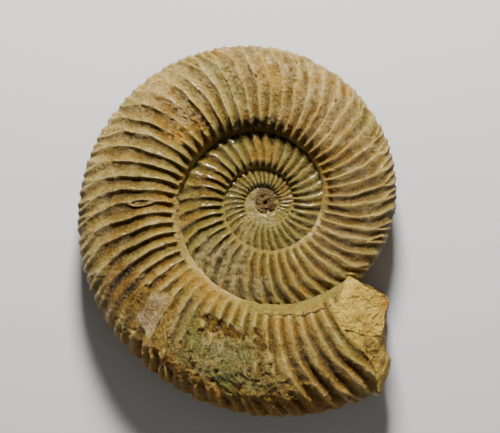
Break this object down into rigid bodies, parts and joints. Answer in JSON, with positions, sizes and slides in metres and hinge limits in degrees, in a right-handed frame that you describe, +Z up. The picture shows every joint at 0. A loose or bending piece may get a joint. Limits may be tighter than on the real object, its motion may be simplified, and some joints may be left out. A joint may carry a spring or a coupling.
{
  "type": "ammonite fossil",
  "caption": "Coiled, ribbed ammonite fossil lying on its flank: strong ribs that split towards the outer edge, a stepped umbilicus and a broken stone face at the mouth end.",
  "frame": {"origin": "centre of the bounding box's foot, on the surface that the fossil lies on", "axes": "+Z up from that surface, out of the shown flank; +Y along the longest extent, from the edge below the mouth to the opposite edge; the mouth end points towards +X and -Y"},
  "size_m": [0.1276, 0.1484, 0.0407],
  "materials": {
    "fossil_stone": "ochre, satin on the ribs"
  },
  "bodies": {
    "root": {"ammonite": "fossil_stone"}
  },
  "joints": []
}
